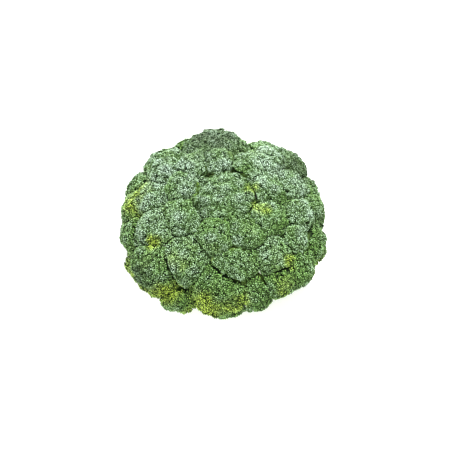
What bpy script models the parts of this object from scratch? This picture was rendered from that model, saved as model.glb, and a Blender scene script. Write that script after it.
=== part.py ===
"""A broccoli head cut close for sale, standing on the cut face of its stalk.

The stalk branches like a candelabra, and each branch carries one floret: a dome of bud clusters above
a plain cone of packed branchlets. The florets press against each other and are smallest at the crown's tip.
Metres, +Z up, front towards -Y. The origin is the centre of the stalk's cut face.
"""

import math
import random

import bmesh
import bpy
import numpy as np
from mathutils import Vector

MM = 0.001

# The head's outer form: the floret tops lie on a flattened globe
HEAD_CENTRE_HEIGHT = 45 * MM
HEAD_HALF_WIDTH = 83 * MM
HEAD_RISE_ABOVE_CENTRE = 54 * MM
HEAD_DROP_BELOW_CENTRE = 42 * MM

# The florets
NEIGHBOUR_GAP = 0.4 * MM
JOINT_GAP = 0.3 * MM
JOINT_SIDES = 8
LONGEST_CONE = 15 * MM
LEAST_LIFT = 0.12
CORE_PER_RADIUS = 0.85
LOBE_COVER_ANGLE = math.radians(95)
LOBES_PER_RADIUS = 1.3
FEWEST_LOBES = 5
LOBE_SPREAD = (1.05, 1.4)
LOBE_STAND_OUT = (0.97, 1.03)
LARGEST_LOBE_PER_RADIUS = 0.6

# The bud clusters, raised from each floret's dome
CLUSTER_PITCH = 5.6 * MM
CLUSTER_RELIEF = 1.5 * MM
RIM_MARGIN = 1.04
PLAIN_PITCH = 13 * MM
FEWEST_PLAIN = 26
PLAIN_CLEARANCE_PER_PITCH = 0.8
JOINT_CLEARANCE = 0.02

# The stalk
STALK_RADIUS = 21 * MM
STALK_SIDES = 20
FLUTE_COUNT = 5
FLUTE_DEPTH = 0.9 * MM
STALK_RINGS = (  # height, share of the stalk's radius
    (0 * MM, 0.94),
    (1.2 * MM, 1.0),
    (12 * MM, 1.02),
    (24 * MM, 0.95),
    (34 * MM, 0.78),
    (42 * MM, 0.45),
)
BRANCH_PER_HALF_WIDTH = 0.30
BRANCH_SIDES = 7
BRANCH_STEPS = 4
BRANCH_ROOT_SWELL = 1.35
BRANCH_ROOT_HEIGHTS = (13 * MM, 36 * MM)
BRANCH_CLIMB = 0.75
BRANCH_LEAD = 0.35

GOLDEN_ANGLE = math.pi * (3 - math.sqrt(5))
HEXAGON_PER_SQUARE = math.sqrt(3) / 2
FAR_AWAY = 1.0
NEARLY_NOTHING = 1e-6
SEED = 7

# A floret's proportions: the radius of its dome's ball as a share of its half width, then its heart's
# height above the ball's middle and its cone's length as shares of that radius, and its lobes' half width
FLAT_BUILD = (1.22, 0.5, 0.45, 8 * MM)
DEEP_BUILD = (1.5, 0.2, 0.9, 6.4 * MM)

# Each floret: bearing in degrees from the front towards the right, rise in degrees above the head's
# centre, half its width and how far it stands out of the head's outer form, both in millimetres
APEX = (50, 87, 28, 0.5)
INNER = (
    (-8, 52, 13, 0.5),
    (28, 51, 13, 0),
    (63, 49, 13, 0.5),
    (103, 53, 13.5, 0),
    (145, 54, 13, 0.5),
    (-173, 54, 12.5, 0),
    (-109, 53, 13, 0),
    (-62, 50, 13.5, 0.5),
    (-141, 49, 13, 0),
)
MIDDLE = (
    (-32, 29, 16.5, 1),
    (10, 32, 15.5, 0),
    (41, 27, 13, 0),
    (63, 24, 11, 0),
    (84, 26, 12, 0),
    (109, 31, 13, 0),
    (138, 34, 14, 1.5),
    (-98, 29, 13.5, 0),
    (-66, 28, 16, 1),
    (-122, 32, 12.5, 1.5),
)
OUTER = (
    (-1, 11, 19.5, 1.5),
    (20, 7, 15, 0),
    (37, 10, 14, 1),
    (53, 5, 13.5, 3.5),
    (72, 3, 14, 3),
    (94, 9, 13, 0.5),
    (112, 4, 14, 0),
    (131, 14, 15, 3),
    (150, 3, 16, 0),
    (178, -1, 16, 0),
    (-173, 25, 21.5, 3),
    (-155, 3, 16, 0),
    (-133, 14, 16, 2),
    (-113, 3, 14.5, 2.5),
    (-96, 8, 13.5, 1),
    (-79, 4, 13, 1),
    (-48, 10, 18, 6),
    (-66, -9, 12.5, 5),
    (-31, -1, 14, 1.5),
)


def clear_scene():
    for obj in list(bpy.data.objects):
        bpy.data.objects.remove(obj)


def material(name, colour, roughness):
    """A Principled BSDF of one colour."""
    made = bpy.data.materials.new(name)
    made.use_nodes = True
    shader = made.node_tree.nodes["Principled BSDF"]
    shader.inputs["Base Color"].default_value = (*colour, 1)
    shader.inputs["Roughness"].default_value = roughness
    shader.inputs["Metallic"].default_value = 0
    return made


def unit(vector):
    return vector / np.linalg.norm(vector)


def square_to(axis):
    """Two directions square to the axis and to each other."""
    side = unit(np.cross(axis, [0.3, 0.9, 0.2]))
    return side, np.cross(axis, side)


def globe_point(bearing, rise):
    """The point of the head's outer form in that direction, and the form's outward normal there."""
    b, e = math.radians(bearing), math.radians(rise)
    direction = np.array([math.sin(b) * math.cos(e), -math.cos(b) * math.cos(e), math.sin(e)])
    upright = HEAD_RISE_ABOVE_CENTRE if rise >= 0 else HEAD_DROP_BELOW_CENTRE
    axes = np.array([HEAD_HALF_WIDTH, HEAD_HALF_WIDTH, upright])
    point = direction / np.linalg.norm(direction / axes)
    return point + np.array([0, 0, HEAD_CENTRE_HEIGHT]), unit(point / axes**2)


def cap_directions(axis, count, reach):
    """Directions spread by the golden angle over the cap within that angle of the axis."""
    side, other = square_to(axis)
    k = np.arange(count)
    cosine = 1 - (1 - math.cos(reach)) * (k + 0.5) / count
    sine = np.sqrt(1 - cosine**2)
    turn = k * GOLDEN_ANGLE
    return (
        np.outer(cosine, axis)
        + np.outer(sine * np.cos(turn), side)
        + np.outer(sine * np.sin(turn), other)
    )


class Floret:
    """One floret's measures: the ball that its dome belongs to, its axis, and the joint to its branch.

    Every corner of its surface is seen from one inner point, the heart, and has a reach from there.
    """

    def __init__(self, name, row, build, draw):
        bearing, rise, half_width_mm, stand_out_mm = row
        ball_radius, heart_rise, cone_length, self.lobe_half_width = build
        self.name = name
        top, outward = globe_point(bearing, rise)
        self.axis = unit(np.array([outward[0], outward[1], max(outward[2], LEAST_LIFT)]))
        self.half_width = half_width_mm * MM
        self.radius = self.half_width * ball_radius
        self.middle = top + self.axis * (stand_out_mm * MM - self.radius)
        self.heart = self.middle + self.axis * heart_rise * self.radius
        self.cone_length = min(cone_length * self.radius, LONGEST_CONE)
        self.rim_radius = self.radius * math.sqrt(1 - heart_rise**2)
        self.branch_radius = self.half_width * BRANCH_PER_HALF_WIDTH
        self.joint = self.heart - self.axis * self.cone_length
        self.lobes = self.make_lobes(draw)
        self.walls = []

    def make_lobes(self, draw):
        """The middles and radii of the smaller balls that swell out of the dome."""
        count = round((LOBES_PER_RADIUS * self.radius / self.lobe_half_width) ** 2)
        lobes = [(self.middle, self.radius * CORE_PER_RADIUS)]
        for direction in cap_directions(self.axis, max(FEWEST_LOBES, count), LOBE_COVER_ANGLE):
            radius = self.lobe_half_width * draw.uniform(*LOBE_SPREAD)
            radius = min(radius, self.radius * LARGEST_LOBE_PER_RADIUS)
            reach = self.radius * draw.uniform(*LOBE_STAND_OUT) - radius
            lobes.append((self.middle + direction * reach, radius))
        return lobes

    def press_against(self, others):
        """The flat walls where this floret meets its neighbours, as (normal, distance from the heart)."""
        for other in others:
            towards = other.middle - self.middle
            span = np.linalg.norm(towards)
            if other is self or span > self.radius + other.radius:
                continue
            normal = towards / span
            distance = (span**2 + self.radius**2 - other.radius**2) / (2 * span)
            shift = (self.heart - self.middle) @ normal
            self.walls.append((normal, distance - shift - NEIGHBOUR_GAP / 2))

    def dome_reach(self, directions):
        """How far the lobed dome goes from the heart along each direction."""
        reach = np.zeros(len(directions))
        for middle, radius in self.lobes:
            offset = middle - self.heart
            along = directions @ offset
            inside = radius**2 - offset @ offset + along**2
            leaving = along + np.sqrt(np.maximum(inside, 0))
            reach = np.maximum(reach, np.where(inside > 0, leaving, 0))
        return reach

    def limit(self, directions):
        """How far the neighbours' walls and the underside's cone let the floret go."""
        reach = np.full(len(directions), FAR_AWAY)
        for normal, distance in self.walls:
            slope = np.maximum(directions @ normal, NEARLY_NOTHING)
            reach = np.minimum(reach, distance / slope)
        spread = (self.rim_radius - self.branch_radius) / self.cone_length
        along = directions @ self.axis
        across = np.sqrt(np.maximum(1 - along**2, 0))
        closing = np.maximum(across - spread * along, NEARLY_NOTHING)
        cone = self.rim_radius / closing
        floor = self.cone_length / np.maximum(-along, NEARLY_NOTHING)
        return np.minimum(reach, np.minimum(cone, floor))

    def joint_ring(self):
        """The corners of the flat face that meets the branch."""
        return np.array(ring_of(self.joint, self.axis, self.branch_radius, JOINT_SIDES))


def seen_from_heart(floret, points):
    """Unit directions from the floret's heart to the points."""
    rays = points - floret.heart
    return rays / np.linalg.norm(rays, axis=1)[:, None]


def spread_directions(floret):
    """Directions for a floret's corners: close together on the bud dome, far apart on walls and cone."""
    ball = 4 * math.pi * floret.radius**2 / HEXAGON_PER_SQUARE
    close = cap_directions(floret.axis, round(ball / CLUSTER_PITCH**2), math.pi)
    close = seen_from_heart(floret, floret.middle + close * floret.radius)
    far = cap_directions(floret.axis, max(FEWEST_PLAIN, round(ball / PLAIN_PITCH**2)), math.pi)
    tops = close[floret.dome_reach(close) < floret.limit(close) * RIM_MARGIN]
    clearance = math.cos(PLAIN_CLEARANCE_PER_PITCH * CLUSTER_PITCH / floret.rim_radius)
    plain = far[(far @ tops.T).max(axis=1) < clearance]
    ring = seen_from_heart(floret, floret.joint_ring())
    joint_edge = (ring @ -floret.axis).min() - JOINT_CLEARANCE
    return tops, plain[plain @ -floret.axis < joint_edge], ring


def floret_mesh(floret):
    """The floret as a closed mesh: a ball of triangles, poked and turned so that each cluster is a bump."""
    tops, plain, ring = spread_directions(floret)
    bm = bmesh.new()
    kind = {}
    for group, directions in (("top", tops), ("plain", plain), ("ring", ring)):
        for direction in directions:
            kind[bm.verts.new(direction)] = group
    bmesh.ops.convex_hull(bm, input=bm.verts)
    dome = [f for f in bm.faces if all(kind[v] == "top" for v in f.verts)]
    ridges = [e for e in bm.edges if all(f in set(dome) for f in e.link_faces)]
    valleys = bmesh.ops.poke(bm, faces=dome)["verts"]
    for vert in valleys:
        kind[vert] = "valley"
    bmesh.ops.rotate_edges(bm, edges=ridges, use_ccw=True)
    place_corners(bm, kind, floret)
    bmesh.ops.triangulate(bm, faces=bm.faces)
    bmesh.ops.recalc_face_normals(bm, faces=bm.faces)
    mesh = bpy.data.meshes.new(floret.name)
    bm.to_mesh(mesh)
    bm.free()
    return mesh


def place_corners(bm, kind, floret):
    """Moves each corner from the unit ball to its place on the floret."""
    corners = list(bm.verts)
    directions = np.array([unit(np.array(v.co)) for v in corners])
    limit = floret.limit(directions)
    reach = floret.dome_reach(directions)
    sunk = np.array([CLUSTER_RELIEF if kind[v] == "valley" else 0.0 for v in corners])
    reach = np.minimum(reach, limit) - sunk
    for vert, direction, distance in zip(corners, directions, reach):
        vert.co = Vector(floret.heart + direction * distance)


def add_object(name, mesh, finish):
    obj = bpy.data.objects.new(name, mesh)
    bpy.context.scene.collection.objects.link(obj)
    mesh.materials.append(finish)
    return obj


def ring_of(centre, axis, radius, sides):
    """The corners of a regular polygon round the axis."""
    side, other = square_to(axis)
    turns = np.arange(sides) * 2 * math.pi / sides
    return [centre + radius * (math.cos(t) * side + math.sin(t) * other) for t in turns]


def skin_rings(name, rings):
    """A closed tube through rings of corners, each ring with the same number."""
    bm = bmesh.new()
    loops = [[bm.verts.new(Vector(p)) for p in ring] for ring in rings]
    sides = len(loops[0])
    for low, high in zip(loops, loops[1:]):
        for i in range(sides):
            j = (i + 1) % sides
            bm.faces.new((low[i], low[j], high[j], high[i]))
    bm.faces.new(reversed(loops[0]))
    bm.faces.new(loops[-1])
    bmesh.ops.recalc_face_normals(bm, faces=bm.faces)
    mesh = bpy.data.meshes.new(name)
    bm.to_mesh(mesh)
    bm.free()
    return mesh


def trunk_mesh():
    """The main stem: a fluted column from the flat cut face up to where it has divided."""
    rings = []
    for height, share in STALK_RINGS:
        ring = []
        for i in range(STALK_SIDES):
            turn = 2 * math.pi * i / STALK_SIDES
            radius = STALK_RADIUS * share - FLUTE_DEPTH * (1 + math.cos(FLUTE_COUNT * turn)) / 2
            ring.append(np.array([radius * math.cos(turn), radius * math.sin(turn), height]))
        rings.append(ring)
    return skin_rings("trunk", rings)


def branch_mesh(floret):
    """A branch that leaves the trunk's middle steeply and bends out to meet its floret square on."""
    end = floret.joint - floret.axis * JOINT_GAP
    out = math.hypot(end[0], end[1])
    root = np.array([0, 0, np.clip(end[2] - BRANCH_CLIMB * out, *BRANCH_ROOT_HEIGHTS)])
    bend = end - floret.axis * BRANCH_LEAD * np.linalg.norm(end - root)
    rings = []
    for i in range(BRANCH_STEPS + 1):
        t = i / BRANCH_STEPS
        middle = (1 - t) ** 2 * root + 2 * t * (1 - t) * bend + t**2 * end
        heading = unit(2 * (1 - t) * (bend - root) + 2 * t * (end - bend))
        radius = floret.branch_radius * (BRANCH_ROOT_SWELL + (1 - BRANCH_ROOT_SWELL) * t)
        rings.append(ring_of(middle, heading, radius, BRANCH_SIDES))
    return skin_rings("branch", rings)


def join_by_union(target, helpers):
    """Joins the helpers to the target with one Boolean union, which is applied, and removes them."""
    group = bpy.data.collections.new("branches")
    bpy.context.scene.collection.children.link(group)
    for helper in helpers:
        bpy.context.scene.collection.objects.unlink(helper)
        group.objects.link(helper)
    union = target.modifiers.new("union", "BOOLEAN")
    union.operation = "UNION"
    union.operand_type = "COLLECTION"
    union.collection = group
    union.solver = "MANIFOLD"
    bpy.context.view_layer.objects.active = target
    bpy.ops.object.modifier_apply(modifier=union.name)
    for helper in helpers:
        bpy.data.objects.remove(helper)
    bpy.data.collections.remove(group)


def keep_one_body(mesh):
    """Keeps what hangs together with the cut face, and so fills any pocket sealed between branches."""
    bm = bmesh.new()
    bm.from_mesh(mesh)
    bmesh.ops.triangulate(bm, faces=bm.faces)
    reached = set()
    waiting = [min(bm.faces, key=lambda f: f.calc_center_median().z)]
    while waiting:
        face = waiting.pop()
        if face not in reached:
            reached.add(face)
            waiting.extend(other for edge in face.edges for other in edge.link_faces)
    sealed = [f for f in bm.faces if f not in reached]
    bmesh.ops.delete(bm, geom=sealed, context="FACES")
    bm.to_mesh(mesh)
    bm.free()


def build_stalk(florets, finish):
    """The trunk with a branch to every floret, fused into one body."""
    stalk = add_object("stalk", trunk_mesh(), finish)
    branches = [add_object("branch", branch_mesh(f), finish) for f in florets]
    join_by_union(stalk, branches)
    keep_one_body(stalk.data)


def plan_florets():
    """Every floret's measures, from the tip of the crown out to its lower edge."""
    draw = random.Random(SEED)
    florets = [Floret("floret_apex", APEX, FLAT_BUILD, draw)]
    for ring, rows in (("inner", INNER), ("middle", MIDDLE), ("outer", OUTER)):
        for number, row in enumerate(rows, 1):
            florets.append(Floret(f"floret_{ring}_{number:02d}", row, DEEP_BUILD, draw))
    for floret in florets:
        floret.press_against(florets)
    return florets


def main():
    clear_scene()
    bud_green = material("bud_green", (0.10, 0.21, 0.075), 0.7)
    stem_green = material("stem_green", (0.42, 0.55, 0.22), 0.55)
    florets = plan_florets()
    for floret in florets:
        add_object(floret.name, floret_mesh(floret), bud_green)
    build_stalk(florets, stem_green)


main()
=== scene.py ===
# %% [markdown]
# # A head of broccoli, bud by bud
#
# A broccoli head is a bunch of unopened flowers. Tens of thousands of buds sit on thousands of little
# stems, which join into thicker and thicker ones down to the stalk. The loaded frame already has the
# head's size, its stalk and the dome of every floret, with one bump for each cluster of buds. This script
# keeps those forms and dresses them: single buds all over the domes, forking branchlets under them, a
# smooth grown stalk with a moist cut face, and the colours that belong to them.

# %% Load the frame
import math
import random

import bmesh
import bpy
import numpy as np
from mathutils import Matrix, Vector, noise
from mathutils.bvhtree import BVHTree
from mathutils.kdtree import KDTree


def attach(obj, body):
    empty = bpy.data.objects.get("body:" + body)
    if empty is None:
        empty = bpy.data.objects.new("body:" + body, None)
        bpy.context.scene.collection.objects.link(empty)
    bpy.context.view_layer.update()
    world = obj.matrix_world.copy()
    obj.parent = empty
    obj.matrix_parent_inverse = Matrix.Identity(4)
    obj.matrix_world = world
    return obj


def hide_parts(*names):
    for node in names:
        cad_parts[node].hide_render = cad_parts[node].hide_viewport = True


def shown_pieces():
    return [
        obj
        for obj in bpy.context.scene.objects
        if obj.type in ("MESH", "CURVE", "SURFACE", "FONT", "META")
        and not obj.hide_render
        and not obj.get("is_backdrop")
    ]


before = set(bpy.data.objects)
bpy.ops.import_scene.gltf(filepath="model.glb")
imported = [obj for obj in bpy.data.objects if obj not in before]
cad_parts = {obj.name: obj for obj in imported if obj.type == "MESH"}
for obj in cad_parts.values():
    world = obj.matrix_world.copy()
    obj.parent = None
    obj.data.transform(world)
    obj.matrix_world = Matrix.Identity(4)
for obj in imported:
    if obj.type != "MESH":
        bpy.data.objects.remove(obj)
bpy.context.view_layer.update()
floret_nodes = sorted(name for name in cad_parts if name.startswith("floret_"))
MM = 0.001

# %% [markdown]
# ## The camera
#
# The photograph looks steeply down at the head, about 60 degrees above the horizon, from 80 centimetres
# away with a longish lens. It is set first, so that every later step can be judged in the same picture.
# The focal length is worked out in pixels of the square picture, because that is how it was measured.

# %% Camera
PICTURE_SIDE = 453
FOCAL_LENGTH_IN_PIXELS = 1008.5
SENSOR_WIDTH = 36
CAMERA_ELEVATION = math.radians(60)
CAMERA_DISTANCE = 0.80
CAMERA_TARGET = Vector((0.0024, 0.0, 0.040))


def add_object(name, data):
    """A new object in the scene, at the origin, with this mesh, curve, lamp or camera in it."""
    obj = bpy.data.objects.new(name, data)
    bpy.context.scene.collection.objects.link(obj)
    return obj


camera_data = bpy.data.cameras.new("camera")
camera_data.sensor_width = SENSOR_WIDTH
camera_data.lens = SENSOR_WIDTH * FOCAL_LENGTH_IN_PIXELS / PICTURE_SIDE
camera = add_object("camera", camera_data)
towards_camera = Vector((0, -math.cos(CAMERA_ELEVATION), math.sin(CAMERA_ELEVATION)))
camera.location = CAMERA_TARGET + towards_camera * CAMERA_DISTANCE
camera.rotation_euler = (-towards_camera).to_track_quat("-Z", "Y").to_euler()
bpy.context.scene.camera = camera
print("lens", round(camera_data.lens, 1), "mm")

# %% [markdown]
# ## Writing materials as expressions
#
# A procedural material is a small calculation made of nodes. Wiring dozens of nodes by hand hides what is
# being calculated, so two small classes stand in between. `Finish` owns a material and adds any node;
# `Wire` is one of its sockets, and the usual operators on wires add the Math nodes. A Mix node has
# several sockets of one name, such as for numbers and for colours, so those for colours go by number.

# %% Finish and Wire
MIX_FACTOR, MIX_FIRST, MIX_SECOND = 0, 6, 7
MIX_RESULT = 2


class Wire:
    """An output socket that can be used in an expression."""

    def __init__(self, finish, socket):
        self.finish = finish
        self.socket = socket

    def math(self, operation, *values):
        return self.finish.node("Math", {"operation": operation}, dict(enumerate(values)))

    def __add__(self, other):
        return self.math("ADD", self, other)

    def __mul__(self, other):
        return self.math("MULTIPLY", self, other)

    def __sub__(self, other):
        return self.math("SUBTRACT", self, other)

    def __rsub__(self, other):
        return self.math("SUBTRACT", other, self)

    __radd__ = __add__
    __rmul__ = __mul__

    def ramp(self, start, end):
        """0 below the start and 1 above the end, with a smooth way between; start may be the larger."""
        settings = {"interpolation_type": "SMOOTHSTEP"}
        return self.finish.node("MapRange", settings, {"Value": self, "From Min": start, "From Max": end})


class Finish:
    """A material in the making, built round one Principled BSDF."""

    def __init__(self, name):
        self.material = bpy.data.materials.new(name)
        self.material.use_nodes = True
        self.tree = self.material.node_tree
        self.shader = self.tree.nodes["Principled BSDF"]

    def plug(self, socket, value):
        if isinstance(value, Wire):
            self.tree.links.new(value.socket, socket)
        else:
            socket.default_value = value

    def node(self, kind, settings, inputs, output=0):
        """Adds a node of that kind, sets it up, fills its sockets and gives one of its outputs."""
        made = self.tree.nodes.new("ShaderNode" + kind)
        for key, value in settings.items():
            setattr(made, key, value)
        for key, value in inputs.items():
            self.plug(made.inputs[key], value)
        return Wire(self, made.outputs[output])

    def attribute(self, name):
        return self.node("Attribute", {"attribute_name": name}, {}, "Fac")

    def place(self):
        return self.node("TexCoord", {}, {}, "Object")

    def noise(self, vector, scale, detail):
        """Soft noise from 0 to 1, with about that many clouds on each unit of the vector."""
        return self.node("TexNoise", {}, {"Vector": vector, "Scale": scale, "Detail": detail})

    def stretched(self, vector, scale):
        return self.node("VectorMath", {"operation": "MULTIPLY"}, {0: vector, 1: scale})

    def mix(self, factor, first, second):
        """The first colour where the factor is 0, and the second where it is 1."""
        inputs = {MIX_FACTOR: factor, MIX_FIRST: first, MIX_SECOND: second}
        return self.node("Mix", {"data_type": "RGBA"}, inputs, MIX_RESULT)

    def surface(self, **inputs):
        """Sets the shader's own sockets; an underscore stands for the space in a socket's name."""
        for key, value in inputs.items():
            self.plug(self.shader.inputs[key.replace("_", " ")], value)

    def bump(self, height, distance, strength):
        inputs = {"Height": height, "Distance": distance, "Strength": strength}
        self.surface(Normal=self.node("Bump", {}, inputs, "Normal"))

    def report(self):
        print(self.material.name, "is calculated by", len(self.tree.nodes), "nodes")


def colour(red, green, blue):
    """A colour given as a screen shows it, from 0 to 255, as the linear values that shaders use."""
    shares = [channel / 255 for channel in (red, green, blue)]
    linear = [s / 12.92 if s <= 0.04045 else ((s + 0.055) / 1.055) ** 2.4 for s in shares]
    return (*linear, 1.0)


print("mid grey is", [round(value, 3) for value in colour(128, 128, 128)])

# %% [markdown]
# ## The buds' finish
#
# A bud is green, and its top is dusted with a pale blue-grey wax that rubs off; that pale top is partly
# the wax and partly a painted highlight. Its rim and stem are painted nearly black: painted shade, for
# the shade that falls between the buds. That is why the head looks grey-green and grainy from a step
# away. Old or sunlit florets turn yellow-green at their lower edges, and some places are a dull olive,
# partly their own tint and partly painted shade. Every bud carries five numbers, stored on its mesh when
# it is placed: how high on the bud a point is, a random tone, how much wax there is (with painted light
# and shade in it), how yellow the bud has turned and how olive it is. The finish mixes its colour from
# them.

# %% Bud finish
# Painted shade: the nearly black colour below is what each bud's lower part and stem fade to, in place of
# the shade that falls between the buds.
BUD_PAINTED_SHADE = colour(4, 16, 1)
BUD_GREEN = colour(132, 178, 94)
BUD_WAX_AND_HIGHLIGHT = colour(202, 230, 206)
BUD_YELLOW = colour(200, 232, 94)
BUD_OLIVE_AND_SHADE = colour(98, 116, 86)
WAX_AND_HIGHLIGHT_RISE = (0.35, 1.0)
WAX_BY_TONE = 0.4
WAX_LOST_TO_YELLOW = 0.8
YELLOW_AT_LEAST = 0.7
YELLOW_BY_TONE = 0.5
PAINTED_LIGHT_RISE = (0.6, 0.92)
DARKEST_TONE = 0.25
BUD_ROUGHNESS = 0.75
SMOOTHER_ON_TOP = 0.12
BUD_SPECULAR = 0.1
BUD_GRAIN = 2600.0
BUD_GRAIN_DEPTH = 0.12 * MM
GRAIN_STRENGTH = 0.5

buds_finish = Finish("waxy_bud")
place = buds_finish.place()
rise = buds_finish.attribute("bud_rise")
tone = buds_finish.attribute("bud_tone").ramp(0.0, 1.0)
bloom_and_painted_light = buds_finish.attribute("bud_wax")
yellowing = buds_finish.attribute("bud_yellow")
olive = buds_finish.attribute("bud_olive")
# The pale wax on each bud's top is partly real bloom and partly a painted highlight.
wax = rise.ramp(*WAX_AND_HIGHLIGHT_RISE) * (bloom_and_painted_light + WAX_BY_TONE * (tone - 0.5)) * (1 - WAX_LOST_TO_YELLOW * yellowing)
turned = (yellowing * (YELLOW_AT_LEAST + YELLOW_BY_TONE * tone)).ramp(0.0, 1.0)
green = buds_finish.mix(turned, BUD_GREEN, BUD_YELLOW)
dressed = buds_finish.mix(wax.ramp(0.0, 1.0), green, BUD_WAX_AND_HIGHLIGHT)
# Olive: partly a dull tint and partly painted shade.
dressed = buds_finish.mix(olive, dressed, BUD_OLIVE_AND_SHADE)
# Painted shade and light: each bud's lower part fades to the painted shade and its top stays lit; a darker
# random tone takes more of the painted shade.
painted_lit_share = rise.ramp(*PAINTED_LIGHT_RISE) * (DARKEST_TONE + (1 - DARKEST_TONE) * tone)
buds_finish.surface(
    Base_Color=buds_finish.mix(painted_lit_share, BUD_PAINTED_SHADE, dressed),
    Roughness=BUD_ROUGHNESS - SMOOTHER_ON_TOP * rise,
)
buds_finish.surface(Specular_IOR_Level=BUD_SPECULAR)
buds_finish.bump(buds_finish.noise(place, BUD_GRAIN, detail=2.0), BUD_GRAIN_DEPTH, GRAIN_STRENGTH)
buds_finish.report()

# %% [markdown]
# ## The flesh of branchlets and of the inner mass
#
# Under the buds the branchlets are smooth, pale green at the stalk and a deeper green towards the buds,
# with fine flecks. Deep between the buds almost no light comes in, so there the flesh is painted nearly
# black, as painted shade, and matt. One number on the mesh, `along`, says how near to the buds a point is,
# and so also how much painted shade it gets.

# %% Flesh finish
FLESH_PALE = colour(186, 204, 132)
FLESH_GREEN = colour(122, 158, 74)
# Painted shade: the nearly black colour below stands for the shade deep between the buds.
FLESH_PAINTED_SHADE = colour(10, 26, 4)
GREENING = (0.0, 0.6)
PAINTED_SHADE_RAMP = (0.55, 0.95)
FLECKS = 420.0
FLECK_CONTRAST = 0.35
FLECK_DEPTH = 0.15 * MM
MOIST_ROUGHNESS = 0.42
ROUGHER_IN_FLECKS = 0.25
ROUGHER_NEAR_BUDS = 0.3
FLESH_SPECULAR = 0.12

flesh_finish = Finish("branchlet_flesh")
along = flesh_finish.attribute("along")
place = flesh_finish.place()
fleck = flesh_finish.noise(place, FLECKS, detail=4.0)
greened = (along + FLECK_CONTRAST * (fleck - 0.5)).ramp(*GREENING)
body = flesh_finish.mix(greened, FLESH_PALE, FLESH_GREEN)
# Painted shade: near the buds the flesh is mixed towards the nearly black painted shade.
flesh_finish.surface(
    Base_Color=flesh_finish.mix(along.ramp(*PAINTED_SHADE_RAMP), body, FLESH_PAINTED_SHADE),
    Roughness=MOIST_ROUGHNESS + ROUGHER_IN_FLECKS * fleck + ROUGHER_NEAR_BUDS * along,
)
flesh_finish.surface(Specular_IOR_Level=FLESH_SPECULAR)
flesh_finish.bump(fleck, FLECK_DEPTH, GRAIN_STRENGTH)
flesh_finish.report()

# %% [markdown]
# ## Reading a floret from the frame
#
# Each floret's solid says where things belong. The bumps' tips are where clusters of buds sit, and the
# flat face below is where the floret meets its branch. The tips are found by shape: a valley is a corner
# whose neighbours stand higher, and a tip is a corner with valleys round it.

# %% Floret survey
SAME_POINT = 0.01 * MM
SAME_PLANE = 0.05 * MM
VALLEY_DEPTH = 0.25 * MM
VALLEYS_ROUND_A_TIP = 2
NORMAL_REACH = 8.0 * MM
HEART_SHARE = 0.3


def tree_of(points):
    """A tree that finds the nearest of the points."""
    tree = KDTree(len(points))
    for i, point in enumerate(points):
        tree.insert(point, i)
    tree.balance()
    return tree


def distance_to(tree, point):
    """How far the nearest of the tree's points is."""
    _, _, distance = tree.find(point)
    return distance


class Floret:
    """What the frame says about one floret."""

    def __init__(self, node):
        self.node = node
        self.ring = node.split("_")[1]
        self.bm = bmesh.new()
        self.bm.from_mesh(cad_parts[node].data)
        bmesh.ops.remove_doubles(self.bm, verts=self.bm.verts, dist=SAME_POINT)
        bmesh.ops.recalc_face_normals(self.bm, faces=self.bm.faces)
        self.tree = BVHTree.FromBMesh(self.bm)
        self.tips = self.find_tips()
        self.tip_tree = tree_of(self.tips)
        self.joint, self.axis = self.find_joint()
        self.normals = self.smooth_normals()
        self.height = max((tip - self.joint).dot(self.axis) for tip in self.tips)
        self.heart = self.joint + self.axis * self.height * HEART_SHARE

    def find_tips(self):
        valleys = set()
        for vert in self.bm.verts:
            lifts = [(e.other_vert(vert).co - vert.co).dot(vert.normal) for e in vert.link_edges]
            if sum(lifts) / len(lifts) > VALLEY_DEPTH:
                valleys.add(vert)
        tips = []
        for vert in self.bm.verts:
            near = sum(e.other_vert(vert) in valleys for e in vert.link_edges)
            if vert not in valleys and near >= VALLEYS_ROUND_A_TIP:
                tips.append(vert)
        self.tip_normals = [vert.normal.copy() for vert in tips]
        return [vert.co.copy() for vert in tips]

    def find_joint(self):
        """The middle of the flat face that meets the branch, and the floret's axis, square to it."""
        crown = sum(self.tip_normals, Vector()).normalized()
        lowest = min(self.bm.faces, key=lambda f: f.calc_center_median().dot(crown))
        level = lowest.calc_center_median().dot(lowest.normal)
        corners = [v.co for v in self.bm.verts if abs(v.co.dot(lowest.normal) - level) < SAME_PLANE]
        return sum(corners, Vector()) / len(corners), -lowest.normal

    def smooth_normals(self):
        """Each tip's outward direction, averaged over the tips round it."""
        smooth = []
        for tip in self.tips:
            near = self.tip_tree.find_range(tip, NORMAL_REACH)
            smooth.append(sum((self.tip_normals[i] for _, i, _ in near), Vector()).normalized())
        return smooth


florets = [Floret(node) for node in floret_nodes]
print(sum(len(f.tips) for f in florets), "clusters; the apex has", len(florets[0].tips))

# %% [markdown]
# ## One bud
#
# A closed bud is a blunt knob on a short stem, between one and two millimetres across. Tens of thousands
# of them are needed, so one is modelled with few faces, and smooth shading hides the corners. It starts
# as a five-sided cylinder, which is the stem. Its top face is widened to the knob's rim, and poking that
# face raises its middle into the tip. Its width and height are both about one, so that every copy can be
# given its own size.

# %% Model the bud
BUD_SIDES = 5
BUD_STEM_RADIUS = 0.28
BUD_STEM_LENGTH = 0.66
BUD_STEM_MIDDLE = -0.17
RIM_WIDENING = 1.75
TIP_RISE = 0.34


def select_only(obj):
    bpy.ops.object.select_all(action="DESELECT")
    obj.select_set(True)
    bpy.context.view_layer.objects.active = obj


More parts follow.
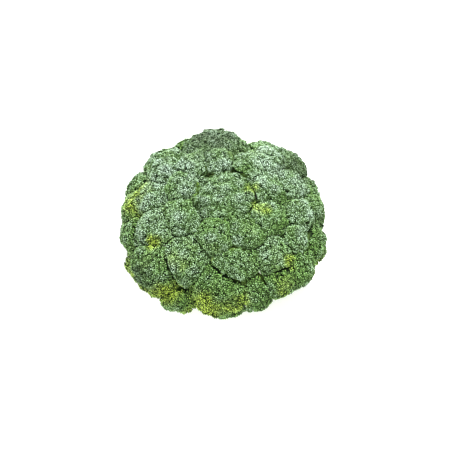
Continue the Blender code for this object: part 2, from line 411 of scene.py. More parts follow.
def make_bud():
    bpy.ops.mesh.primitive_cylinder_add(
        vertices=BUD_SIDES,
        radius=BUD_STEM_RADIUS,
        depth=BUD_STEM_LENGTH,
        location=(0, 0, BUD_STEM_MIDDLE),
    )
    bud = bpy.context.active_object
    bud.name = "bud"
    select_only(bud)
    bpy.ops.object.mode_set(mode="EDIT")
    bpy.ops.mesh.select_all(action="DESELECT")
    bpy.ops.object.mode_set(mode="OBJECT")
    top = max(bud.data.polygons, key=lambda face: face.center.z)
    top.select = True
    bpy.ops.object.mode_set(mode="EDIT")
    bpy.ops.transform.resize(value=(RIM_WIDENING, RIM_WIDENING, 1.0))
    bpy.ops.mesh.poke(offset=TIP_RISE)
    bpy.ops.object.mode_set(mode="OBJECT")
    return bud


bud_model = make_bud()
bud_corners = np.array([v.co for v in bud_model.data.vertices])
bud_faces = [tuple(p.vertices) for p in bud_model.data.polygons]
bpy.data.objects.remove(bud_model)
print("one bud has", len(bud_corners), "corners and", sum(len(f) - 2 for f in bud_faces), "triangles")

# %% [markdown]
# ## Small domes and soft furrows
#
# A floret isn't one smooth dome: its clusters join into domes about a centimetre wide with creases
# between them, and its edge rounds down to its neighbours. Both are given here as a distance that a place
# is lowered by. Places deep between florets are raised instead, because there the plant's furrows are
# shallower than those of the frame's solids. Buds and the mass below them use the same distances, so that
# one stays on the other.

# %% Domes and furrows
FURROW_REACH = 11.0 * MM
FURROW_FILLED = 0.65
FURROW_MOST = 3.0 * MM
DOMELET_SPACING = {"apex": 9.5 * MM, "inner": 11.0 * MM, "middle": 11.0 * MM, "outer": 11.0 * MM}
DOMELET_DEPTH = {"apex": 3.6 * MM, "inner": 1.4 * MM, "middle": 1.4 * MM, "outer": 1.4 * MM}
DOMELET_RAISED = 0.5 * MM
BORDER_NEAR = 3.0 * MM
BORDER_FAR = 8.0 * MM
BORDER_DROP = 1.1 * MM


def clamp(value):
    return min(max(value, 0.0), 1.0)


def spread_out(points, spacing):
    """Those of the points that stand at least that far from each other, taken in their order."""
    chosen = []
    for point in points:
        if all((point - other).length > spacing for other in chosen):
            chosen.append(point)
    return chosen


def tips_of_others(floret):
    return [tip for other in florets if other is not floret for tip in other.tips]


every_tip_tree = tree_of([tip for floret in florets for tip in floret.tips])
domelets = []
for floret in florets:
    domelets += spread_out(floret.tips, DOMELET_SPACING[floret.ring])
domelet_tree = tree_of(domelets)
outsider_trees = {floret.node: tree_of(tips_of_others(floret)) for floret in florets}


def furrow_lift(point, crown):
    """How far a point low between florets is raised, so that the furrow is as shallow as on the plant."""
    near = every_tip_tree.find_range(point, FURROW_REACH)
    if not near:
        return 0.0
    below = sum(max((tip - point).dot(crown), 0.0) for tip, _, _ in near) / len(near)
    return min(below * FURROW_FILLED, FURROW_MOST)


def crease_at(point):
    """0 on top of a small dome and 1 in the crease between two."""
    (_, _, nearest), (_, _, second) = domelet_tree.find_n(point, 2)
    return 2 * nearest / (nearest + second)


def dome_drop(floret, point, border_drop=BORDER_DROP):
    """How far a point lies below the small domes that a floret is made of, and below its rounded edge."""
    crease = crease_at(point)
    to_border = distance_to(outsider_trees[floret.node], point)
    border = clamp((BORDER_FAR - to_border) / (BORDER_FAR - BORDER_NEAR))
    return DOMELET_DEPTH[floret.ring] * crease**2 + border_drop * border**2 - DOMELET_RAISED


print(len(domelets), "small domes")

# %% [markdown]
# ## A cluster of buds
#
# Within a cluster the buds stand in a spiral, each turned from the last by the golden angle, because that
# is how the plant makes them: the youngest and smallest in the middle, the oldest and largest outside.
# The outer ones lean out and stand lower, so that the cluster is a small dome.

# %% Bud clusters
GOLDEN_ANGLE = math.pi * (3 - math.sqrt(5))
SPIRAL_STEP = math.sqrt(math.sqrt(3) / 2 / math.pi)
SPIRAL_START = 0.3
BUD_PITCH = {"apex": 1.6 * MM, "inner": 1.68 * MM, "middle": 1.74 * MM, "outer": 1.8 * MM}
CLUSTER_RADIUS = 3.0 * MM
CLUSTER_CURVE = 5.5 * MM
CLUSTER_LEAN = 1.4
TIP_ALLOWANCE = 0.1 * MM
UNEVEN_TOPS = 0.2 * MM
TURN_WOBBLE = 0.12
YOUNGEST_WIDTH = 0.8
WIDTH_GAINED = 0.1
WIDTH_WOBBLE = 0.06
UNLIKE_ANY_AXIS = Vector((0.31, 0.87, 0.38))


def across(direction):
    """Two directions square to this one and to each other."""
    side = direction.cross(UNLIKE_ANY_AXIS).normalized()
    return side, direction.cross(side)


def cluster_buds(floret, tip, normal, pitch, draw):
    """The buds of one cluster: each one's rank, the place of its top, its axis and its width."""
    side, other = across(normal)
    tip = tip + normal * (furrow_lift(tip, normal) - dome_drop(floret, tip))
    start = draw.uniform(0, math.tau)
    count = round((CLUSTER_RADIUS / (SPIRAL_STEP * pitch)) ** 2)
    buds = []
    for k in range(count):
        reach = SPIRAL_STEP * pitch * math.sqrt(k + SPIRAL_START)
        turn = start + k * GOLDEN_ANGLE + draw.uniform(-TURN_WOBBLE, TURN_WOBBLE)
        outward = side * math.cos(turn) + other * math.sin(turn)
        angle = reach / CLUSTER_CURVE
        lean = angle * CLUSTER_LEAN
        axis = (normal * math.cos(lean) + outward * math.sin(lean)).normalized()
        drop = CLUSTER_CURVE * (1 - math.cos(angle)) + TIP_ALLOWANCE
        drop += draw.uniform(0, UNEVEN_TOPS)
        top = tip + outward * CLUSTER_CURVE * math.sin(angle) - normal * drop
        grown = YOUNGEST_WIDTH + WIDTH_GAINED * math.sqrt(k / count)
        width = pitch * (grown + draw.uniform(-WIDTH_WOBBLE, WIDTH_WOBBLE))
        buds.append((k, top, axis, width))
    return buds


print("the golden angle is", round(math.degrees(GOLDEN_ANGLE), 1), "degrees")

# %% [markdown]
# ## Room in a furrow
#
# On a steep side of a floret there may be no room for a bud. A ray shot outwards from there says how near
# the next floret is. The bud then keeps to its half of the furrow, or is left out.

# %% Room in a furrow
RAISED_BETWEEN = 0.4 * MM
SUNK_ON_WALLS = 0.4 * MM
WALL = 0.5
OPEN_ROOM = 6.0 * MM
BUDS_NEED = 1.0 * MM
OWN_SKIN = 0.05 * MM


def tree_of_all_surfaces():
    """One tree of every floret's surface, which says how much room there is in a furrow."""
    corners, faces = [], []
    for floret in florets:
        first = len(corners)
        floret.bm.verts.index_update()
        corners += [vert.co for vert in floret.bm.verts]
        faces += [tuple(first + vert.index for vert in face.verts) for face in floret.bm.faces]
    print("rays are shot at", len(faces), "faces")
    return BVHTree.FromPolygons(corners, faces)


surface_tree = tree_of_all_surfaces()


def room_before(point, normal, skipped=OWN_SKIN):
    """How far the next surface is from this one, up to what counts as open."""
    _, _, _, distance = surface_tree.ray_cast(point + normal * skipped, normal, OPEN_ROOM)
    return OPEN_ROOM if distance is None else distance


def bud_lift(point, normal, facing):
    """How far a bud there stands out from the surface, or None where it has no room."""
    if facing >= WALL:
        return facing * (RAISED_BETWEEN + SUNK_ON_WALLS) - SUNK_ON_WALLS
    room = room_before(point, normal)
    if room < BUDS_NEED:
        return None
    return min(RAISED_BETWEEN, room / 2 - BUDS_NEED / 2)


# %% [markdown]
# ## Buds between the clusters
#
# The clusters leave gaps, so buds are also scattered over the whole surface, down its sides as far as
# buds grow. Each one points between the surface's own direction and the crown's, and a little away from
# the floret's heart. Far more places are tried than there is room for, so that no gap is missed.

# %% Scattered buds
COVER_REACH = 11.0 * MM
UNDERSIDE = -0.25
SAMPLES_PER_BUD = 13.0
FILLER_RANK = 1000
FILLER_LEAN = 0.5
FILLER_WIDTH = 0.9
FILLER_WOBBLE = 0.08
ONE_CENTIMETRE = 10 * MM


def scattered_bud(floret, point, normal, pitch, draw):
    """One bud at that point of the surface, or None where none grows."""
    _, nearest, distance = floret.tip_tree.find(point)
    if distance > COVER_REACH:
        return None
    crown = floret.normals[nearest]
    lift = bud_lift(point, normal, clamp(normal.dot(crown)))
    if lift is None:
        return None
    outward = (point - floret.heart).normalized()
    axis = (normal + crown + outward * FILLER_LEAN).normalized()
    width = pitch * (FILLER_WIDTH + draw.uniform(-FILLER_WOBBLE, FILLER_WOBBLE))
    rank = FILLER_RANK + draw.random()
    top = point + normal * lift + crown * (furrow_lift(point, crown) - dome_drop(floret, point))
    return rank, top, axis, width


def filler_buds(floret, pitch, draw):
    """Many more buds than there is room for, spread evenly over the floret's surface."""
    buds = []
    for face in floret.bm.faces:
        if face.normal.dot(floret.axis) < UNDERSIDE:
            continue
        count = face.calc_area() / pitch**2 * SAMPLES_PER_BUD
        corners = [loop.vert for loop in face.loops]
        for _ in range(int(count + draw.random())):
            first, second = sorted((draw.random(), draw.random()))
            shares = (first, second - first, 1 - second)
            point = sum((v.co * w for v, w in zip(corners, shares)), Vector())
            normal = sum((v.normal * w for v, w in zip(corners, shares)), Vector()).normalized()
            bud = scattered_bud(floret, point, normal, pitch, draw)
            if bud is not None:
                buds.append(bud)
    return buds


tried = SAMPLES_PER_BUD * (ONE_CENTIMETRE / BUD_PITCH["outer"]) ** 2
print("about", round(tried), "places are tried on a square centimetre of an outer floret")

# %% [markdown]
# ## Competing for room
#
# All these buds now compete, because two can't grow in one place. They are taken in order of rank: first
# the middles of the clusters, then the rest of the clusters, and last the scattered ones. A bud stays
# where no earlier one stands nearer than about its own width. Three more rounds with smaller buds and less
# room for each fill the holes that are left.

# %% Room for every bud
ROUNDS = (  # least spacing in widths, and size, round by round
    (0.95, 1.0),
    (0.83, 0.92),
    (0.74, 0.82),
    (0.66, 0.72),
)
MUCH_ROOM = 9.0
SEED = 11


def all_wanted_buds():
    """Every bud that could grow, the first in rank first, with the number of its floret."""
    draw = random.Random(SEED)
    wanted = []
    for number, floret in enumerate(florets):
        pitch = BUD_PITCH[floret.ring]
        for tip, normal in zip(floret.tips, floret.normals):
            wanted += [(*bud, number) for bud in cluster_buds(floret, tip, normal, pitch, draw)]
        wanted += [(*bud, number) for bud in filler_buds(floret, pitch, draw)]
    wanted.sort(key=lambda bud: bud[0])
    return wanted


def all_buds():
    """Every bud that finds room, grouped by floret."""
    wanted = all_wanted_buds()
    print(len(wanted), "places to try")
    tree = tree_of([bud[1] for bud in wanted])
    room = np.full(len(wanted), MUCH_ROOM)
    kept = [[] for _ in florets]
    for spacing, size in ROUNDS:
        for i, (_, top, axis, width, number) in enumerate(wanted):
            if room[i] < spacing:
                continue
            for _, j, distance in tree.find_range(top, ROUNDS[0][0] * width * size):
                room[j] = min(room[j], distance / (width * size))
            room[i] = 0.0
            kept[number].append((top, axis, width * size))
        print(sum(len(buds) for buds in kept), "buds with", spacing, "widths between them")
    return kept


buds_by_floret = all_buds()

# %% [markdown]
# ## Where the head is yellow, waxy or olive
#
# The photograph shows a few yellow-green patches, mostly on the florets' lower rims, where the buds are
# oldest, and some dull olive ones. They are given as bearings round the head and rises above its middle,
# and fade out softly. The olive is partly the buds' own dull tint and partly painted shade, where the
# head's rim lies in shade. A little random yellow on the lowest edges carries the same look round the
# hidden sides. The wax is thickest at the lit back and on the florets' tops, which is partly real wax and
# partly painted light; it is thinner in the creases between the small domes, which is painted shade, and
# thin on the young apex.

# %% Colour patches
HEAD_MIDDLE = Vector((0, 0, 45 * MM))
YELLOW_PATCHES = (  # bearing and rise in degrees, radius in millimetres, strength
    (-98, 19, 20, 0.65),
    (-58, 27, 8, 0.9),
    (-49, -4, 17, 0.7),
    (-34, 6, 16, 0.7),
    (-32, 29, 15, 0.35),
    (-10, 6, 17, 0.75),
    (7, 10, 15, 0.5),
    (36, 9, 13, 0.35),
    (100, 65, 8, 0.5),
    (67, 55, 9, 0.65),
    (47, 20, 9, 0.8),
)
# The olive patches are partly the buds' own dull tint and partly painted shade where the head's rim lies in
# shade.
OLIVE_AND_SHADE_PATCHES = ((124, 17, 24, 0.6), (-173, 27, 34, 0.65), (84, 10, 16, 0.4), (-48, 8, 20, 0.45))
PATCH_FADE = 1.6


def direction_of(bearing, rise):
    b, e = math.radians(bearing), math.radians(rise)
    return Vector((math.sin(b) * math.cos(e), -math.cos(b) * math.cos(e), math.sin(e)))


def within(patches, outward):
    """How far inside the strongest of these patches a place is."""
    share = 0.0
    for bearing, rise, radius, strength in patches:
        middle = direction_of(bearing, rise) * outward.length
        away = (outward - middle).length / (radius * MM)
        share = max(share, strength * clamp(PATCH_FADE - PATCH_FADE * away))
    return share


def drift_at(place, clouds, start):
    """Soft noise round zero. The start keeps one use of it from looking like another."""
    return noise.noise(place * clouds + Vector(start))


print(len(YELLOW_PATCHES), "yellow patches and", len(OLIVE_AND_SHADE_PATCHES), "olive ones")

# %% Yellow, wax and olive of a bud
LOW_EDGE_TOP = 60 * MM
LOW_EDGE_DEPTH = 35 * MM
YELLOW_LOW = 0.45
YELLOW_DRIFT = 0.35
YELLOW_COARSE = 60
YELLOW_FINE = 190
FINE_OUTSIDE_PATCHES = 0.3
# Painted light and shade: more wax on the lit back side and on the florets' tops is partly real wax and
# partly painted light; less wax in the creases is painted shade.
WAXY_AND_LIT_SIDE = direction_of(-160, 55)
RING_WAX = {"apex": -0.05, "inner": 0.02, "middle": 0.12, "outer": 0.0}
WAX_LEVEL = 0.52
WAX_AND_PAINTED_LIGHT_ON_SIDE = 0.3
WAX_AND_PAINTED_LIGHT_ON_TOP = 0.5
TOP_OF_FLORET = 0.85
WAX_DRIFT = 0.25
WAX_CLOUDS = 90
WAX_LOST_AS_PAINTED_SHADE_IN_CREASE = 0.35
OLIVE_RAGGED = 0.6
OLIVE_CLOUDS = 120


def yellow_at(top):
    """How yellow a bud there has turned, from 0 to 1."""
    patch = within(YELLOW_PATCHES, top - HEAD_MIDDLE)
    low = clamp((LOW_EDGE_TOP - top.z) / LOW_EDGE_DEPTH)
    drift = drift_at(top, YELLOW_COARSE, start=(3, 5, 7))
    fine = drift_at(top, YELLOW_FINE, start=(0, 0, 0)) * (FINE_OUTSIDE_PATCHES + patch)
    return clamp(patch + YELLOW_LOW * low + YELLOW_DRIFT * drift + YELLOW_DRIFT * fine)


def wax_and_painted_light_at(floret, top):
    """How much wax a bud there carries: most on the lit back side and on the florets' tops, partly real wax
    and partly painted light, and less in creases, as painted shade.
    """
    outward = (top - HEAD_MIDDLE).normalized()
    crown = (top - floret.joint).dot(floret.axis) / floret.height
    wax = WAX_LEVEL + RING_WAX[floret.ring] + WAX_AND_PAINTED_LIGHT_ON_SIDE * outward.dot(WAXY_AND_LIT_SIDE)
    wax += WAX_AND_PAINTED_LIGHT_ON_TOP * (crown - TOP_OF_FLORET)
    wax += WAX_DRIFT * drift_at(top, WAX_CLOUDS, start=(11, 2, 5))
    return wax - WAX_LOST_AS_PAINTED_SHADE_IN_CREASE * crease_at(top)


def olive_and_shade_at(top):
    """How olive a bud there is, in patches with ragged edges; the olive is partly a dull tint and partly
    painted shade.
    """
    ragged = 1 + OLIVE_RAGGED * drift_at(top, OLIVE_CLOUDS, start=(1, 8, 4))
    return min(within(OLIVE_AND_SHADE_PATCHES, top - HEAD_MIDDLE) * ragged, 1.0)


highest_tip = max(florets[0].tips, key=lambda tip: tip.z)
print("the highest cluster has wax", round(wax_and_painted_light_at(florets[0], highest_tip), 2))

# %% [markdown]
# ## Growing the buds
#
# The copies are worked out all at once: every bud is the model, stretched to its width and turned to its
# axis. One mesh for each floret keeps the number of pieces sensible. The numbers that the finish reads
# are written beside the corners.

# %% Bud meshes
BUD_HEIGHT_PER_WIDTH = 1.75


def write_attribute(mesh, name, values):
    mesh.attributes.new(name, "FLOAT", "POINT").data.foreach_set("value", np.asarray(values, np.float32))


def new_piece(name, corners, faces):
    mesh = bpy.data.meshes.new(name)
    mesh.from_pydata(corners, [], faces)
    mesh.shade_smooth()
    return add_object(name, mesh)


def grow_buds(floret, buds):
    draw = random.Random(floret.node)
    corners, faces = [], []
    numbers = {"rise": [], "tone": [], "wax": [], "yellow": [], "olive": []}
    low, high = bud_corners[:, 2].min(), bud_corners[:, 2].max()
    each = np.ones(len(bud_corners))
    for top, axis, width in buds:
        side, other = across(axis)
        height = width * BUD_HEIGHT_PER_WIDTH
        frame_of_bud = np.array([side * width, other * width, axis * height])
        first = len(corners) * len(bud_corners)
        corners.append(np.array(top - axis * height * high) + bud_corners @ frame_of_bud)
        faces += [tuple(first + i for i in face) for face in bud_faces]
        numbers["rise"].append((bud_corners[:, 2] - low) / (high - low))
        numbers["tone"].append(each * draw.random())
        numbers["wax"].append(each * wax_and_painted_light_at(floret, top))
        numbers["yellow"].append(each * yellow_at(top))
        numbers["olive"].append(each * olive_and_shade_at(top))
    piece = new_piece(f"{floret.node}_buds", np.concatenate(corners), faces)
    for name, values in numbers.items():
        write_attribute(piece.data, f"bud_{name}", np.concatenate(values))
    piece.data.materials.append(buds_finish.material)
    return piece


for floret, buds in zip(florets, buds_by_floret):
    grown = grow_buds(floret, buds)
    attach(grown, "root")
    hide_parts(floret.node)
print("the largest floret has", max(len(buds) for buds in buds_by_floret), "buds")

# %% [markdown]
# ## The mass under the buds
#
# Between the buds one sees the imported tips of the stems that carry them. At that depth only a dark green
# ground shows, its darkness painted shade from the flesh's finish, so it is the floret's own solid,
# lowered under the buds with the same small domes and furrows. Its corners move along the crown's
# direction only. The side walls stay where they are, so that no daylight shows between two florets.

# %% Inner mass
DRAWN_IN = 2.3 * MM
DOME_REACH = 7.0 * MM
MASS_BORDER_DROP = 0.3 * MM


def inner_mass(floret):
    mesh = bpy.data.meshes.new("mass")
    floret.bm.to_mesh(mesh)
    mass = add_object("mass", mesh)
    for vert in mesh.vertices:
        _, nearest, distance = floret.tip_tree.find(vert.co)
        if distance < DOME_REACH:
            crown = floret.normals[nearest]
            lift = furrow_lift(vert.co, crown) - dome_drop(floret, vert.co, MASS_BORDER_DROP)
            vert.co += crown * (lift - DRAWN_IN)
    mesh.shade_smooth()
    return mass


masses = [inner_mass(floret) for floret in florets]
print("the masses have", sum(len(mass.data.polygons) for mass in masses), "faces")

# %% [markdown]
# ## The branchlets
#
# From below, a floret is a fan of stems that fork on their way up. They are drawn as curves that climb the
# underside of the solid: a few thick ones leave the branch, and each one forks in two half way. A bevel
# gives the curves their thickness, which thins out towards the buds.

# %% Climb a floret's side
UNDER_BUDS = 6.0 * MM
CLIMB_START = 0.3 * MM
CLIMB_STEP = 0.8 * MM
LEAST_REACH = 0.2 * MM


def climb(floret, turn):
    """Points up the solid's side at that turn round the axis, from the joint to just under the buds."""
    side, other = across(floret.axis)
    outward = side * math.cos(turn) + other * math.sin(turn)
    points = []
    rise = CLIMB_START
    while rise < floret.height:
        start = floret.joint + floret.axis * rise
        hit = floret.tree.ray_cast(start, outward)[0]
        if hit is None:
            break
        points.append((rise, (hit - start).length))
        if distance_to(floret.tip_tree, hit) < UNDER_BUDS:
            break
        rise += CLIMB_STEP
    return outward, points


def along_path(floret, path, share, inset):
    """The point that far up a climbed path, drawn in from the solid's surface."""
    outward, points = path
    place = share * (len(points) - 1)
    low = min(int(place), len(points) - 2)
    part = place - low
    rise = points[low][0] * (1 - part) + points[low + 1][0] * part
    reach = points[low][1] * (1 - part) + points[low + 1][1] * part
    return floret.joint + floret.axis * rise + outward * max(reach - inset, LEAST_REACH)


_, apex_steps = climb(florets[0], 0.0)
print("the apex is climbed in", len(apex_steps), "steps")

# %% Branchlets
STEM_PITCH_AT_JOINT = 2.6 * MM
LEAST_STEMS = 6
LEAST_CLIMB = 3
STEM_WOBBLE = 0.1
FORK_AT = 0.45
FORK_SPREAD = 0.55
STEM_STEPS = 5
STEM_RADIUS = (1.45 * MM, 1.25 * MM)
TWIG_RADIUS = (1.15 * MM, 0.8 * MM)
STEM_SHARES = [FORK_AT * i / (STEM_STEPS - 1) for i in range(STEM_STEPS)]
TWIG_SHARES = [FORK_AT + (1 - FORK_AT) * i / (STEM_STEPS - 1) for i in range(1, STEM_STEPS)]


def add_stem(curve, points, radii):
    spline = curve.splines.new("POLY")
    spline.points.add(len(points) - 1)
    for knot, point, radius in zip(spline.points, points, radii):
        knot.co = (*point, 1.0)
        knot.radius = radius / MM


def is_short(path):
    """Whether a climbed path has too few points to draw a stem along."""
    _, points = path
    return len(points) < LEAST_CLIMB


def add_forked_stem(curve, floret, turn, spread):
    """A stem up the floret's side at that turn, and the two twigs that it forks into."""
    path = climb(floret, turn)
    if is_short(path):
        return
    stem = [along_path(floret, path, share, STEM_RADIUS[0]) for share in STEM_SHARES]
    add_stem(curve, stem, np.linspace(*STEM_RADIUS, STEM_STEPS))
    for way in (-1, 1):
        fork = climb(floret, turn + way * spread)
        if is_short(fork):
            continue
        twig = [along_path(floret, fork, share, TWIG_RADIUS[0]) for share in TWIG_SHARES]
        add_stem(curve, stem[-1:] + twig, np.linspace(*TWIG_RADIUS, STEM_STEPS))


def branchlets(floret):
    _, points = climb(floret, 0.0)
    _, joint_radius = points[0]
    count = max(LEAST_STEMS, round(math.tau * joint_radius / STEM_PITCH_AT_JOINT))
    curve = bpy.data.curves.new("branchlets", "CURVE")
    curve.dimensions = "3D"
    curve.bevel_depth = MM
    curve.bevel_resolution = 1
    curve.use_fill_caps = True
    draw = random.Random(floret.node)
    for k in range(count):
        turn = math.tau * k / count + draw.uniform(-STEM_WOBBLE, STEM_WOBBLE)
        add_forked_stem(curve, floret, turn, math.pi / count * FORK_SPREAD)
    select_only(add_object("branchlets", curve))
    bpy.ops.object.convert(target="MESH")
    stems = bpy.context.active_object
    stems.data.shade_smooth()
    return stems


fans = [branchlets(floret) for floret in florets]
print("the branchlets have", sum(len(fan.data.polygons) for fan in fans), "faces")

# %% [markdown]
# ## How dark the flesh is
#
# The number `along` grows towards the buds, where the flesh lies in deep shade and is painted nearly
# black as painted shade. On the open underside light comes in, so there it never grows to the darkest.
# What is open is found with the same rays as before: a point faces down, and nothing lies before it.
# Mass and branchlets are then joined to one piece.

# %% Flesh of every floret
NEAR_BUDS = 8.0 * MM
NEAR_BUDS_ON_STEMS = 3.0 * MM
PALE_REACH = 12.0 * MM
STEM_RELIEF = 1.0 * MM
OPEN_SHARE = 0.6


def nearness_and_painted_shade(floret, obj, near):
    """How near to the buds each corner is, which also sets how much painted shade it gets; a corner on the
    open underside never gets the darkest painted shade.
    """
    values = []
    for vert in obj.data.vertices:
        away = distance_to(floret.tip_tree, vert.co)
        below = vert.normal.dot(floret.axis) < UNDERSIDE
        is_open = below and room_before(vert.co, vert.normal, STEM_RELIEF) == OPEN_ROOM
        most = OPEN_SHARE if is_open else 1.0
        values.append(clamp(1.0 - (away - near) / PALE_REACH) * most)
    return values


def join_flesh(floret, mass, stems):
    write_attribute(mass.data, "along", nearness_and_painted_shade(floret, mass, NEAR_BUDS))
    write_attribute(stems.data, "along", nearness_and_painted_shade(floret, stems, NEAR_BUDS_ON_STEMS))
    select_only(mass)
    stems.select_set(True)
    bpy.ops.object.join()
    mass.name = mass.data.name = f"{floret.node}_flesh"
    mass.data.materials.clear()
    mass.data.materials.append(flesh_finish.material)
    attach(mass, "root")


for floret, mass, stems in zip(florets, masses, fans):
    join_flesh(floret, mass, stems)
print("flesh made for", len(florets), "florets")

# %% [markdown]
# ## The stalk's finish
#
# The stalk's skin is pale green with darker streaks along it. Higher up, where the branches go in among
# the florets, it is painted darker as painted shade, because it shows there only in deep gaps. The cut
# face is pale pith, moist and so less rough, inside a greener ring of fibres, with the skin as its rim.

# %% Stalk finish
SKIN_PALE = colour(178, 200, 120)
SKIN_GREEN = colour(126, 164, 78)
# Painted shade: the dim skin colour below stands for the shade deep among the florets.
SKIN_PAINTED_SHADE = colour(34, 58, 16)
CUT_PITH = colour(222, 230, 180)
CUT_RING = colour(186, 208, 134)
STREAKS = (420, 420, 60)
STREAK_SHARE = 0.6
BROAD_PATCHES = 60.0
BROAD_SHARE = 0.4
STREAK_BAND = (0.35, 0.65)
PAINTED_SHADE_AMONG_FLORETS = (26 * MM, 44 * MM)
STALK_RADIUS = 21 * MM
FIBRES = (900, 900, 0)
RING_BEGINS = (0.62, 0.72)
RING_ENDS = (0.93, 0.85)
RING_WOBBLE = 0.12
RING_STRENGTH = 0.9
RIM_BEGINS = (0.9, 0.97)
CUT_BELOW = (0.5 * MM, 0.2 * MM)
SKIN_ROUGHNESS = 0.45
ROUGHER_STREAKS = 0.15
MOISTER_CUT = 0.12
SKIN_RELIEF = 0.3 * MM
RELIEF_STRENGTH = 0.6

stalk_finish = Finish("stalk_skin")
place = stalk_finish.place()
streaks = stalk_finish.noise(stalk_finish.stretched(place, STREAKS), 1.0, detail=4.0)
broad = stalk_finish.noise(place, BROAD_PATCHES, detail=2.0)
streaked = (streaks * STREAK_SHARE + broad * BROAD_SHARE).ramp(*STREAK_BAND)
skin = stalk_finish.mix(streaked, SKIN_PALE, SKIN_GREEN)
height = stalk_finish.node("SeparateXYZ", {}, {0: place}, "Z")
# Painted shade: higher up, the skin is mixed towards the dim painted shade.
skin = stalk_finish.mix(height.ramp(*PAINTED_SHADE_AMONG_FLORETS), skin, SKIN_PAINTED_SHADE)
flat = stalk_finish.stretched(place, (1, 1, 0))
from_middle = stalk_finish.node("VectorMath", {"operation": "LENGTH"}, {0: flat}, "Value")
share = from_middle * (1 / STALK_RADIUS)
fibres = stalk_finish.noise(stalk_finish.stretched(place, FIBRES), 1.0, detail=3.0)
ring = (share + RING_WOBBLE * (fibres - 0.5)).ramp(*RING_BEGINS) * share.ramp(*RING_ENDS)
cut = stalk_finish.mix(ring * RING_STRENGTH, CUT_PITH, CUT_RING)
cut = stalk_finish.mix(share.ramp(*RIM_BEGINS), cut, SKIN_GREEN)
is_cut = height.ramp(*CUT_BELOW)
stalk_finish.surface(
    Base_Color=stalk_finish.mix(is_cut, skin, cut),
    Roughness=SKIN_ROUGHNESS - MOISTER_CUT * is_cut + ROUGHER_STREAKS * streaks,
)
stalk_finish.bump(streaks * (1 - is_cut) + fibres * is_cut, SKIN_RELIEF, RELIEF_STRENGTH)
stalk_finish.report()

# %% [markdown]
# ## The stalk
#
# The stalk's solid is a trunk with faceted branches pushed into it. On the plant they grew together, with
# soft hollows where a branch leaves. A voxel remesh turns the solid into an even skin, and smoothing
# that skin rounds the crotches. The cut face is kept out of the smoothing, because a knife leaves it flat.
# A little noise, stretched along the stalk, then gives the skin its soft ridges.

# %% Stalk
VOXEL = 1.6 * MM
CUT_ZONE = 1.5 * MM
CUT_FLAT = 0.6 * MM
SOFTEN_FACTOR = 0.5
SOFTEN_ROUNDS = 8
SKIN_WAVE = 0.35 * MM
WAVE_ACROSS = 260
WAVE_ALONG = 45


def apply_modifier(obj, kind, **settings):
    modifier = obj.modifiers.new(kind.lower(), kind)
    for key, value in settings.items():
        setattr(modifier, key, value)
    bpy.ops.object.modifier_apply(modifier=modifier.name)


def make_stalk():
    stalk = add_object("grown_stalk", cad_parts["stalk"].data.copy())
    select_only(stalk)
    bpy.ops.object.mode_set(mode="EDIT")
    bpy.ops.mesh.select_all(action="SELECT")
    bpy.ops.mesh.remove_doubles(threshold=SAME_POINT)
    bpy.ops.object.mode_set(mode="OBJECT")
    apply_modifier(stalk, "REMESH", mode="VOXEL", voxel_size=VOXEL)
    grown = stalk.vertex_groups.new(name="grown")
    grown.add([v.index for v in stalk.data.vertices if v.co.z > CUT_ZONE], 1.0, "REPLACE")
    apply_modifier(
        stalk, "SMOOTH", factor=SOFTEN_FACTOR, iterations=SOFTEN_ROUNDS, vertex_group=grown.name
    )
    stalk.vertex_groups.clear()
    return stalk


def shape_skin(stalk):
    """Lays the cut face flat on the ground and gives the grown skin its soft ridges."""
    normals = [vert.normal.copy() for vert in stalk.data.vertices]
    for vert, normal in zip(stalk.data.vertices, normals):
        if vert.co.z < CUT_FLAT:
            vert.co.z = 0.0
        elif vert.co.z > CUT_ZONE:
            x, y, z = vert.co
            wave = noise.noise(Vector((x * WAVE_ACROSS, y * WAVE_ACROSS, z * WAVE_ALONG)))
            vert.co += normal * wave * SKIN_WAVE
    stalk.data.shade_smooth()


stalk = make_stalk()
shape_skin(stalk)
stalk.data.materials.clear()
stalk.data.materials.append(stalk_finish.material)
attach(stalk, "root")
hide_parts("stalk")
print("the stalk has", len(stalk.data.polygons), "faces")

# %% [markdown]
# ## The floor
#
# The photograph was taken on white. A plain pale floor gives that, and it glows a little, so that it
# stays white under the head's soft shadow.

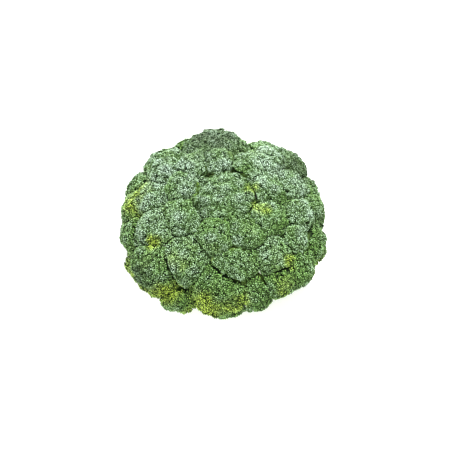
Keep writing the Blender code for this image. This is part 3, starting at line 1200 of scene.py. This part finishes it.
# %% Floor
FLOOR_SIZE = 6
FLOOR_GLOW = 0.3
FLOOR_CLOUDS = 6.0
FLOOR_DIM = (0.86, 0.86, 0.86, 1)
FLOOR_BRIGHT = (0.9, 0.9, 0.9, 1)
FLOOR_ROUGHNESS = 0.8
WHITE = (1, 1, 1, 1)

floor_finish = Finish("floor")
clouds = floor_finish.noise(floor_finish.place(), FLOOR_CLOUDS, detail=2.0)
floor_finish.surface(
    Emission_Color=WHITE,
    Emission_Strength=FLOOR_GLOW,
    Base_Color=floor_finish.mix(clouds, FLOOR_DIM, FLOOR_BRIGHT),
    Roughness=FLOOR_ROUGHNESS,
)
bpy.ops.mesh.primitive_plane_add(size=FLOOR_SIZE)
floor = bpy.context.active_object
floor.name = "floor"
floor.data.materials.append(floor_finish.material)
floor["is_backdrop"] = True
floor_finish.report()

# %% [markdown]
# ## The light
#
# The light is soft and comes from above. A pale world fills every shadow a little, a broad lamp high
# behind the head brings out the domes, and a weaker one from the front keeps the near side from going dark.

# %% Light
SKY_STRENGTH = 0.62

world = bpy.data.worlds.new("studio")
world.use_nodes = True
sky = world.node_tree.nodes["Background"]
sky.inputs["Color"].default_value = WHITE
sky.inputs["Strength"].default_value = SKY_STRENGTH
bpy.context.scene.world = world
bpy.context.scene.view_settings.view_transform = "Standard"


def softbox(name, bearing, rise, distance, side, power):
    """A square lamp that faces the head from that bearing and rise."""
    lamp = bpy.data.lights.new(name, "AREA")
    lamp.shape = "SQUARE"
    lamp.size = side
    lamp.energy = power
    obj = add_object(name, lamp)
    direction = direction_of(bearing, rise)
    obj.location = HEAD_MIDDLE + direction * distance
    obj.rotation_euler = direction.to_track_quat("Z", "Y").to_euler()
    print(name, "lamp of", power, "watts,", distance, "m away")


softbox("key", bearing=155, rise=70, distance=1.0, side=0.4, power=24)
softbox("fill", bearing=-15, rise=45, distance=1.2, side=0.9, power=12)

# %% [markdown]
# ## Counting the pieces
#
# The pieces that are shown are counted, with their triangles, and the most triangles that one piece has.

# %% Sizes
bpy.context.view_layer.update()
shown = [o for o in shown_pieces() if o.type == "MESH"]
counts = {o.name: sum(len(p.vertices) - 2 for p in o.data.polygons) for o in shown}
print(len(shown), "pieces with", sum(counts.values()), "triangles; the most is", max(counts.values()))
